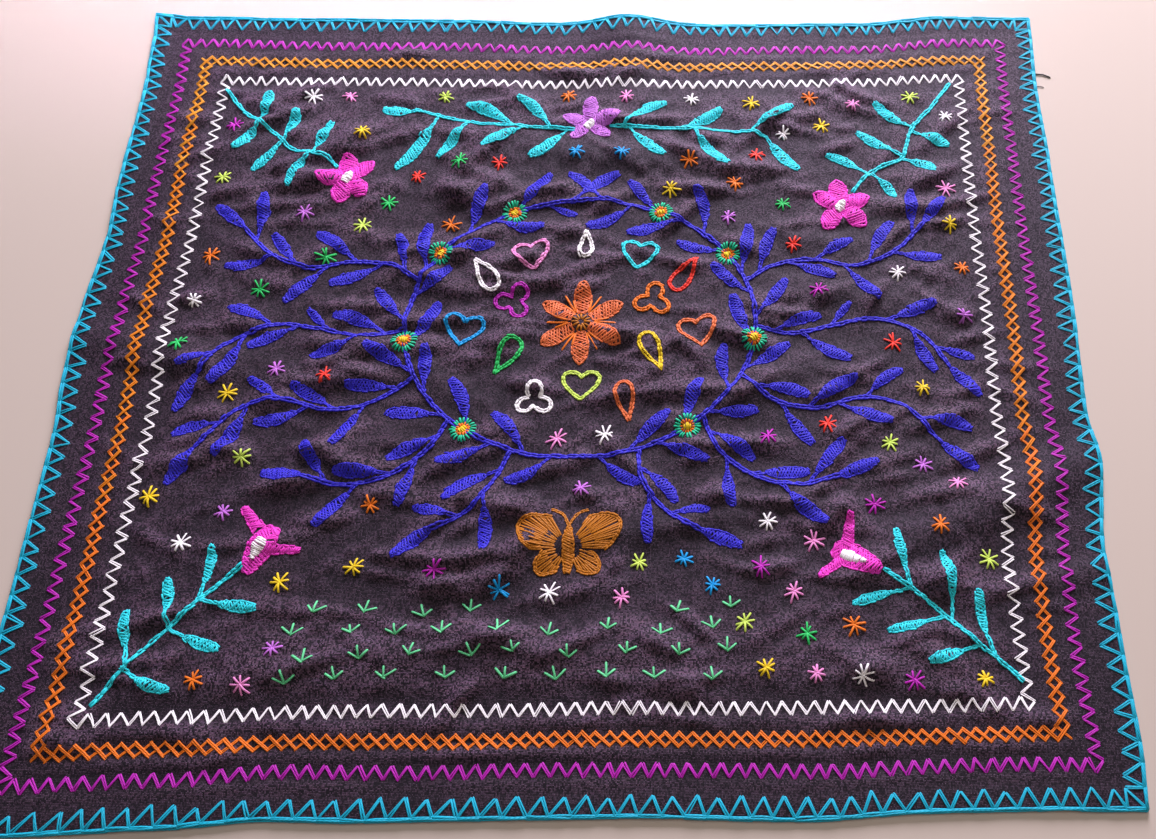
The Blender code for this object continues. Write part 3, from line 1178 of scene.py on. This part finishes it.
TOP_LEFT = Spray(
    width=7.4,
    stalk=0.2,
    stem=[(-293, 237), (-275, 215), (-258, 203), (-240, 187), (-228, 176), (-205, 172), (-194, 162)],
    leaves=[
        ((-261, 204), (-257, 234)), ((-260, 203), (-277, 180)), ((-238, 186), (-231, 215)),
        ((-239, 186), (-260, 160)), ((-214, 174), (-204, 204)), ((-216, 174), (-228, 143)),
    ],
)
TOP_RIGHT = Spray(
    width=7.4,
    stalk=0.27,
    stem=[(287, 241), (270, 218), (252, 196), (243, 170), (228, 162), (212, 150), (202, 137)],
    leaves=[
        ((254, 198), (223, 222)), ((252, 195), (281, 181)), ((243, 171), (208, 194)),
        ((242, 168), (268, 156)), ((216, 152), (183, 172)), ((218, 153), (235, 132)),
    ],
)
BOTTOM_LEFT = Spray(
    width=6.4,
    stalk=0.33,
    stem=[(-289, -237), (-272, -213), (-252, -190), (-233, -170), (-211, -149)],
    leaves=[
        ((-272, -212), (-281, -178)), ((-252, -190), (-259, -157)), ((-236, -173), (-233, -136)),
        ((-274, -215), (-243, -229)), ((-252, -190), (-217, -204)), ((-235, -172), (-197, -178)),
    ],
)
BOTTOM_RIGHT = Spray(
    width=6.0,
    stalk=0.33,
    stem=[(293, -232), (270, -211), (250, -193), (228, -173), (208, -159)],
    leaves=[
        ((277, -217), (270, -173)), ((251, -194), (248, -147)), ((226, -172), (218, -131)),
        ((226, -171), (187, -181)), ((247, -191), (209, -199)), ((268, -209), (234, -219)),
    ],
)
GARLAND_LEFT = Spray(
    width=8.4,
    stalk=0.2,
    stem=[(-14, 197), (-45, 200), (-75, 202), (-105, 206), (-125, 212), (-141, 217)],
    leaves=[
        ((-139, 216), (-166, 217)), ((-33, 199), (-60, 229)), ((-62, 201), (-101, 222)),
        ((-20, 197), (-48, 172)), ((-54, 200), (-85, 180)), ((-98, 205), (-119, 171)),
        ((-122, 211), (-150, 161)),
    ],
)
GARLAND_RIGHT = Spray(
    width=8.4,
    stalk=0.2,
    stem=[(14, 200), (40, 199), (70, 198), (100, 196), (124, 194), (137, 190)],
    leaves=[
        ((24, 200), (57, 224)), ((68, 198), (101, 218)), ((124, 194), (158, 220)),
        ((28, 199), (57, 171)), ((80, 197), (107, 162)), ((136, 191), (161, 158)),
    ],
)


def sew_sprays(name, seed, sprays):
    """Stems with their leaves, each leaf bent a little."""
    needle = Needle(name, seed)
    for spray in sprays:
        chain_stitch(needle, spray.stem, "turquoise")
        for joint, tip in spray.leaves:
            width = spray.width * needle.draw.uniform(*SPRAY_LEAF_SIZES)
            bend = needle.draw.uniform(-SPRAY_LEAF_BEND, SPRAY_LEAF_BEND)
            stalked_leaf(needle, joint, tip, "turquoise", width, bend, spray.stalk)
    needle.make()


sew_sprays("corner_sprays", 41, (TOP_LEFT, TOP_RIGHT, BOTTOM_LEFT, BOTTOM_RIGHT))
sew_sprays("top_garland", 42, (GARLAND_LEFT, GARLAND_RIGHT))

# %% [markdown]
# ## Flowers
# The flowers have five filled petals around a white satin-stitch centre. Two trumpet
# flowers end the lower sprays, each a filled body with two horns and a white throat.

# %% Five-petal flowers
PETAL_FROM = 2.0
PETAL_PITCH = 1.6
PETAL_THREAD = 1.4
SATIN_GAP = 1.25
SATIN_THREAD = 1.6
SATIN_ROUNDING = 2.0
SATIN_LIFT = 2.0
SATIN_NARROW = 0.75
FLOWER_CENTRE = (9.5, 8.5)
Flower = namedtuple("Flower", "centre colour petals")

# Each petal has its turn in degrees, its length and its width.
FLOWERS = (
    Flower(
        (-184, 151),
        "hot_pink",
        ((98, 23, 13.5), (43, 23, 12.5), (-45, 21, 13.5), (255, 22, 14), (180, 22, 14)),
    ),
    Flower(
        (-3, 202),
        "lilac",
        ((89, 27, 11), (23, 26, 12), (-36, 20, 10), (226, 19, 10), (158, 22, 11)),
    ),
    Flower(
        (192, 124),
        "hot_pink",
        ((95, 25, 14), (20, 24, 13), (-41, 25, 14), (237, 24, 14), (150, 23, 13.5)),
    ),
)


def from_centre(centre, turn, distance):
    """A place at a turn in degrees and a distance from a centre."""
    angle = math.radians(turn)
    return (centre[0] + distance * math.cos(angle), centre[1] + distance * math.sin(angle))


def satin_patch(needle, centre, turn, length, width, colour, narrow=SATIN_NARROW):
    """Short stitches side by side, set across a line."""
    count = max(3, round(length / SATIN_GAP))
    for k in range(count):
        share = (k + 0.5) / count - 0.5
        middle = from_centre(centre, turn, share * length)
        half = width / 2 * (1 + (narrow - 1) * (share + 0.5)) * math.cos(share * SATIN_ROUNDING)
        ends = [from_centre(middle, turn + side, half) for side in (90, -90)]
        needle.stitch(*ends, colour, SATIN_THREAD, lift=SATIN_LIFT)


flowers = Needle("five_petal_flowers", 43, unevenness=0.3)
for flower in FLOWERS:
    for turn, length, width in flower.petals:
        route = [from_centre(flower.centre, turn, reach) for reach in (PETAL_FROM, length)]
        shape = (width, petal_outline, PETAL_PITCH, PETAL_THREAD)
        lattice(flowers, route, flower.colour, *shape)
    satin_patch(flowers, flower.centre, flowers.draw.uniform(30, 80), *FLOWER_CENTRE, "white")
flowers.make()

# %% Trumpet flowers
TRUMPET_WIDTH = 21.0
THROAT_NARROW = 0.3
BODY_FROM, BODY_SPAN = 0.04, 0.94
HORN_END, HORN_ROUNDING = 1.04, 0.12
Trumpet = namedtuple("Trumpet", "body horns throat")

# A horn has its root, tip and width; a throat its centre, turn, length and width.
TRUMPETS = (
    Trumpet(
        body=((-209, -155), (-195, -124)),
        horns=(((-205, -126), (-218, -110), 8.5), ((-199, -139), (-176, -140), 7.0)),
        throat=((-203, -139), 245, 14.0, 12.0),
    ),
    Trumpet(
        body=((206, -160), (176, -143)),
        horns=(((185, -144), (188, -120), 8.0), ((184, -150), (165, -163), 7.0)),
        throat=((189, -151), -26, 17.5, 11.0),
    ),
)


def trumpet_outline(share):
    """Half-width of the body: round at its foot, widest near its mouth."""
    return (0.5 + 0.5 * share) * math.sin(math.pi * (BODY_FROM + BODY_SPAN * share)) ** 0.4


def horn_outline(share):
    """Half-width of a horn: wide at its root, with a small round tip."""
    return (1 - 0.5 * share) * min(1.0, (HORN_END - share) / HORN_ROUNDING) ** 0.5


trumpets = Needle("trumpet_flowers", 44, unevenness=0.3)
for trumpet in TRUMPETS:
    shapes = [(*trumpet.body, TRUMPET_WIDTH, trumpet_outline)]
    shapes += [(*horn, horn_outline) for horn in trumpet.horns]
    for root, tip, width, outline in shapes:
        fill = (width, outline, PETAL_PITCH, PETAL_THREAD)
        lattice(trumpets, [root, tip], "hot_pink", *fill)
    satin_patch(trumpets, *trumpet.throat, "white", THROAT_NARROW)
trumpets.make()

# %% [markdown]
# ## The middle of the cloth
# A leafy oval wreath of royal blue, with five branches at each side. Leaves stand out
# and in by turns. Where the free ground is too small for a full leaf, a smaller one
# is sewn, or none.

# %% Leafy vines
VINE_COLOUR = "royal_blue"
VINE_WIDTH = 3.1
VINE_LEAF = namedtuple("VineLeaf", "length width gap angle stalk")(39.0, 8.3, 21.0, 36.0, 0.24)
ANGLE_SPREAD = (0.85, 1.2)
BEND_SPREAD = (-0.02, 0.12)
SIZE_SPREAD = (0.88, 1.1)
SMALLER_SIZES = (1, 0.8, 0.62)
CLEAR_SHARES = (0.7, 0.85, 1.0)
LEAF_CLEAR = 7.5
JOINT_DRIFT = 1.5
BARE_END = 6
END_LEAF_TURN, END_LEAF_SHARE = 8, 0.75


def vine_leaf(needle, place, ahead, side):
    """One leaf with its stalk, off a vine to one side, where the ground is free."""
    out = turned(ahead, side * VINE_LEAF.angle * needle.draw.uniform(*ANGLE_SPREAD))
    bend = side * needle.draw.uniform(*BEND_SPREAD)
    full = needle.draw.uniform(*SIZE_SPREAD)
    sewn = np.array(sewn_places)
    for smaller in SMALLER_SIZES:
        size = full * smaller
        reach = out * VINE_LEAF.length * size
        gaps = [np.hypot(*(sewn - place - reach * share).T).min() for share in CLEAR_SHARES]
        if min(gaps) > LEAF_CLEAR:
            shape = (VINE_LEAF.width * size, bend, VINE_LEAF.stalk)
            stalked_leaf(needle, place, place + reach, VINE_COLOUR, *shape)
            return


def leafy_vine(needle, route, sides, first):
    """A vine with leaves by turns along it, the first of them some way on."""
    chain_stitch(needle, route, VINE_COLOUR, VINE_WIDTH)
    points, ahead, _ = smooth_route(route, 1.0)
    for number, along in enumerate(np.arange(first, len(points) - BARE_END, VINE_LEAF.gap)):
        k = int(along + needle.draw.uniform(-JOINT_DRIFT, JOINT_DRIFT))
        vine_leaf(needle, points[k], ahead[k], sides[number % 2])


def end_leaf(needle, route):
    """A leaf without a stalk at a vine's end."""
    points, ahead, _ = smooth_route(route, 1.0)
    reach = turned(ahead[-1], END_LEAF_TURN) * VINE_LEAF.length * END_LEAF_SHARE
    lattice(needle, [points[-1], points[-1] + reach], VINE_COLOUR, VINE_LEAF.width)


print("length and width of a blue leaf in mm:", VINE_LEAF.length, VINE_LEAF.width)

# %% Wreath and side branches
WREATH_CENTRE = (0, 26)
WREATH_RADII = (126, 104)
WREATH_HALVES = ((90, (-1, 1)), (-270, (1, -1)))
WREATH_KNOTS = 15
FIRST_ON_WREATH, FIRST_ON_BRANCH = 16.0, 14.0
BRANCH_SHIFT = 3
BRANCHES = (
    [(119, 60), (140, 73), (168, 77), (200, 72), (230, 84), (254, 108)],
    [(126, 22), (152, 15), (184, 22), (216, 26), (246, 12), (264, -14)],
    [(116, -17), (140, -34), (170, -40), (202, -32), (232, -40), (256, -68)],
    [(88, -48), (102, -72), (128, -92), (158, -98), (184, -92)],
    [(44, -72), (50, -94), (66, -116), (90, -130)],
)

wreath = Needle("leafy_wreath", 51)
for last_turn, sides in WREATH_HALVES:
    turns = np.radians(np.linspace(-90, last_turn, WREATH_KNOTS))
    ring = np.stack([np.cos(turns), np.sin(turns)], axis=1)
    leafy_vine(wreath, WREATH_CENTRE + WREATH_RADII * ring, sides, FIRST_ON_WREATH)
wreath.make()

for name, seed, mirror in (("right_branches", 52, 1), ("left_branches", 53, -1)):
    branches = Needle(name, seed)
    for route in BRANCHES:
        shift = branches.draw.uniform(-BRANCH_SHIFT, BRANCH_SHIFT, 2)
        placed = np.array(route, dtype=float) * (mirror, 1)
        placed[1:] += shift
        leafy_vine(branches, placed, (mirror, -mirror), FIRST_ON_BRANCH)
        end_leaf(branches, placed)
    branches.make()

# %% [markdown]
# ## Inside the wreath
# A coral rosette with orange rays stands in the middle, and hearts, drops and
# trefoils of chain stitch around it. Round berries sit on the wreath's ring.

# %% Rosette
ROSETTE_PETALS = 6
ROSETTE_PETAL = (7, 33)
ROSETTE_PETAL_WIDTH = 12.0
ROSETTE_RAYS = ((-12, 20), (0, 25), (12, 20))
RAY_FROM, RAY_GATHER = 9, 0.4
HUB_RAYS, HUB_FROM, HUB_TO = 12, 2, 7
RAY_THREAD = 1.5

rosette = Needle("coral_rosette", 54, unevenness=0.3)
for number in range(ROSETTE_PETALS):
    turn = 90 + 360 / ROSETTE_PETALS * number
    petal = [from_centre(WREATH_CENTRE, turn, reach) for reach in ROSETTE_PETAL]
    lattice(rosette, petal, "coral", ROSETTE_PETAL_WIDTH, petal_outline)
    for side, reach in ROSETTE_RAYS:
        start = from_centre(WREATH_CENTRE, turn + 30 + side * RAY_GATHER, RAY_FROM)
        end = from_centre(WREATH_CENTRE, turn + 30 + side, reach)
        rosette.stitch(start, end, "orange", RAY_THREAD)
for number in range(HUB_RAYS):
    turn = 360 / HUB_RAYS * number
    hub_ray = [from_centre(WREATH_CENTRE, turn, reach) for reach in (HUB_FROM, HUB_TO)]
    rosette.stitch(*hub_ray, "brown", RAY_THREAD, lift=0.5)
rosette.make()

# %% Line motifs
LINE_THREAD = 3.0
LINE_STEP = 3.2
HEART_GAP = 0.06
DROP_WIDTH = 0.62
TREFOIL_MIDDLE = 0.25


def heart_line(size):
    """A heart's outline, open at its point."""
    turns = np.linspace(HEART_GAP, 2 * math.pi - HEART_GAP, 19)
    x = size * np.sin(turns) ** 3
    y = size * (13 * np.cos(turns) - 5 * np.cos(2 * turns) - 2 * np.cos(3 * turns)) / 16
    return zip(-x, y)


def drop_line(size):
    """A drop with its tail."""
    turns = np.linspace(0, 2 * math.pi, 15)
    return zip(DROP_WIDTH * size * np.sin(turns) * np.sin(turns / 2) ** 1.5, size * np.cos(turns))


def trefoil_line(size):
    """Three round loops from one middle."""
    turns = np.linspace(0, 2 * math.pi, 31) + math.pi / 6
    reach = size * (TREFOIL_MIDDLE + (1 - TREFOIL_MIDDLE) * np.abs(np.sin(1.5 * turns)))
    return zip(reach * np.cos(turns), reach * np.sin(turns))


# Each motif has its size, its place, its turn in degrees and its colour.
LINE_MOTIFS = (
    (heart_line, 13.0, (-40, 84), 10, "pink"),
    (drop_line, 15.0, (-72, 66), 35, "white"),
    (trefoil_line, 14.0, (-50, 44), 0, "magenta"),
    (heart_line, 13.5, (-84, 22), -8, "sky_blue"),
    (drop_line, 15.0, (-52, 0), 150, "green"),
    (trefoil_line, 13.0, (-30, -34), 30, "white"),
    (heart_line, 13.0, (2, -22), 0, "lime"),
    (drop_line, 14.0, (34, -36), 190, "coral"),
    (drop_line, 15.0, (52, 2), 205, "yellow"),
    (heart_line, 13.5, (84, 20), 12, "coral"),
    (trefoil_line, 14.0, (51, 45), 20, "orange"),
    (drop_line, 15.0, (74, 66), -35, "red"),
    (heart_line, 13.0, (40, 84), -8, "turquoise"),
    (drop_line, 11.0, (0, 92), 0, "white"),
)

motifs = Needle("line_motifs", 55, unevenness=0.25)
for line, size, place, turn, colour in LINE_MOTIFS:
    outline = [turned(point, turn) + place for point in line(size)]
    chain_stitch(motifs, outline, colour, LINE_THREAD, LINE_STEP)
motifs.make()

# %% Berries
BERRY_TURNS = (-52, -8, 33, 64, 116, 147, 188, 232)
BERRY_RINGS = ((20, 4.6, 9.2, "sea_green"), (14, 2.6, 5.4, "orange"))
BERRY_DRIFT = 4
BERRY_HEART = 5.4

berries = Needle("round_berries", 56, unevenness=0.25)
for angle in map(math.radians, BERRY_TURNS):
    heading = (math.cos(angle), math.sin(angle))
    centre = [m + r * h for m, r, h in zip(WREATH_CENTRE, WREATH_RADII, heading)]
    for count, *reaches, colour in BERRY_RINGS:
        for number in range(count):
            turn = 360 / count * number + berries.draw.uniform(-BERRY_DRIFT, BERRY_DRIFT)
            ray = [from_centre(centre, turn, reach) for reach in reaches]
            berries.stitch(*ray, colour, RAY_THREAD, lift=0.9)
    heart = (berries.draw.uniform(0, 90), BERRY_HEART, BERRY_HEART, "yellow")
    satin_patch(berries, centre, *heart, narrow=1.0)
berries.make()

# %% [markdown]
# ## Moth and sprigs
# Below the wreath sits a golden-brown moth, its wings open rays of satin stitch with
# a chain-stitch outline. Small green sprigs of three blades fill the ground below.

# %% Moth
MOTH_PLACE = (0, -141)
MOTH_HEAD, MOTH_TAIL = (0, -126), (0, -158)
MOTH_WIDTH = 7.5
RAY_GAP = 2.0
WING_THREAD = 1.35
WING_ROUNDING = 0.2
WING_CURVE = 1.6
SHORT_RAY_SHARE = 0.22
WING_RIM = (2.6, 2.6)
FEELER = (2.0, 2.4)
Wing = namedtuple("Wing", "turn spread inner outer")

WINGS = (Wing(28, 62, 9, 38), Wing(152, 62, 9, 38), Wing(-38, 56, 8, 26), Wing(218, 56, 8, 26))


def sew_wing(needle, wing):
    """Rays from the body to a rounded rim, and the rim's outline."""
    count = round(math.radians(wing.spread) * wing.outer / RAY_GAP)
    rim = []
    for k in range(count + 1):
        share = k / count - 0.5
        turn = wing.turn + wing.spread * share
        rounded = 1 - WING_ROUNDING + WING_ROUNDING * math.cos(share * math.pi * WING_CURVE)
        inner = wing.inner + (wing.outer * SHORT_RAY_SHARE if k % 2 else 0)
        rim.append(from_centre(MOTH_PLACE, turn, wing.outer * rounded))
        needle.stitch(from_centre(MOTH_PLACE, turn, inner), rim[-1], "brown", WING_THREAD)
    chain_stitch(needle, rim[::3] + rim[-1:], "brown", *WING_RIM)


moth = Needle("golden_moth", 57, unevenness=0.3)
for wing in WINGS:
    sew_wing(moth, wing)
body = (MOTH_WIDTH, petal_outline, PETAL_PITCH, PETAL_THREAD)
lattice(moth, [MOTH_TAIL, MOTH_HEAD], "brown", *body)
for side in (-1, 1):
    feeler = [MOTH_HEAD, (side * 5, MOTH_HEAD[1] + 8), (side * 12, MOTH_HEAD[1] + 11)]
    chain_stitch(moth, feeler, "brown", *FEELER)
moth.make()

# %% Sprigs
SPRIG_ROWS = ((-184, -158, 132), (-198, -172, 118), (-212, -158, 132), (-226, -172, 118))
SPRIG_GAP = 33.0
SPRIG_DRIFT = (5, 3)
SPRIG_LEAN = 16
BLADE_TURNS = (145, 92, 35)
BLADE_LENGTHS = (6.5, 9.0)
MOTH_ROOM, BELOW_MOTH = 44, -185

sprigs = Needle("green_sprigs", 58)
for row_y, row_start, row_end in SPRIG_ROWS:
    for x in np.arange(row_start, row_end, SPRIG_GAP):
        off_x, off_y = [sprigs.draw.uniform(-drift, drift) for drift in SPRIG_DRIFT]
        if abs(x + off_x) <= MOTH_ROOM and row_y >= BELOW_MOTH:
            continue
        foot = (x + off_x, row_y + off_y)
        lean = sprigs.draw.uniform(-SPRIG_LEAN, SPRIG_LEAN)
        for turn in BLADE_TURNS:
            reach = sprigs.draw.uniform(*BLADE_LENGTHS)
            sprigs.stitch(foot, from_centre(foot, turn + lean, reach), "mint", RAY_THREAD)
sprigs.make()

# %% [markdown]
# ## Stars
# Small eight-ray stars fill the ground between the motifs. The outer ones are listed
# by colour. More are then scattered outside the wreath, clear of all thread.

# %% Star stitches
STAR_PLACES = {
    "white": [
        (-222, 229), (77, 228), (280, 207), (-280, 46), (-255, -134), (191, -227), (248, 41),
    ],
    "pink": [
        (-193, 230), (25, 229), (206, 220), (-285, 118), (-283, -54), (-198, -227),
        (162, -225), (275, 140), (282, -84),
    ],
    "lime": [(-118, 229), (253, 229), (-280, 153), (252, 98), (280, -153)],
    "magenta": [(-78, 234), (-280, 202), (-282, -26), (252, 133), (280, -29), (224, -231)],
    "orange": [(-21, 231), (171, 228), (-277, 84), (281, 70), (-229, -223), (248, -130)],
    "yellow": [
        (125, 224), (-283, -102), (275, 107), (130, -221), (269, -231), (180, 200),
        (-177, 192), (265, -3),
    ],
    "green": [(-283, 11), (148, 127), (-191, 82), (-204, -88)],
    "lilac": [(-212, 120), (209, 83), (278, 28), (-231, -113), (-182, -205)],
    "red": [(-132, 153), (128, 172), (-221, 48)],
    "sky_blue": [(-254, 133), (24, 172)],
}
SCATTER_COLOURS = "yellow white red lime magenta orange pink green sky_blue lilac".split()
SCATTER_FIELD = ((-262, 262), (-200, 208))
SCATTER_TRIES = 2600
STAR_THREAD = 1.5
STAR_REACH = 7.1
STAR_RAYS = 8
STAR_SIZES = (0.85, 1.1)
RAY_LENGTHS = (0.75, 1.12)
RAY_START = 0.8
RAY_DRIFT = 5
RAY_LIFT = 0.2
WREATH_FREE_SHARE = 0.82
CLEAR_BY_HAND = 6.5
CLEAR_OF_THREAD = 12.0
CLEAR_OF_STARS = 25.5


def gap(places, place):
    """The distance from a place to the nearest of many."""
    return np.hypot(*(np.array(places) - place).T).min()


def sew_star(needle, place, colour):
    """Eight rays of uneven length from one middle."""
    first_turn = needle.draw.uniform(0, 360 / STAR_RAYS)
    size = needle.draw.uniform(*STAR_SIZES)
    for number in range(STAR_RAYS):
        turn = first_turn + 360 / STAR_RAYS * number + needle.draw.normal(0, RAY_DRIFT)
        reach = STAR_REACH * size * needle.draw.uniform(*RAY_LENGTHS)
        ray = (from_centre(place, turn + 180, RAY_START), from_centre(place, turn, reach))
        needle.stitch(*ray, colour, STAR_THREAD, lift=RAY_LIFT * number)


def scatter_stars(needle, taken, sewn):
    """More stars at random places that are clear of thread and of other stars."""
    colours = 0
    for _ in range(SCATTER_TRIES):
        place = tuple(needle.draw.uniform(*reach) for reach in SCATTER_FIELD)
        from_wreath = np.subtract(place, WREATH_CENTRE) / WREATH_RADII
        outside = np.hypot(*from_wreath) >= WREATH_FREE_SHARE
        free = gap(sewn, place) > CLEAR_OF_THREAD and gap(taken, place) > CLEAR_OF_STARS
        if outside and free:
            sew_star(needle, place, SCATTER_COLOURS[colours % len(SCATTER_COLOURS)])
            taken.append(place)
            colours += 1
    return colours


stars = Needle("star_stitches", 61, unevenness=0.3)
sewn_before = np.array(sewn_places)
star_centres = []
for colour, places in STAR_PLACES.items():
    for place in places:
        if gap(sewn_before, place) > CLEAR_BY_HAND:
            sew_star(stars, place, colour)
            star_centres.append(place)
print("stars by hand:", len(star_centres))
print("stars scattered:", scatter_stars(stars, star_centres, sewn_before))
stars.make()
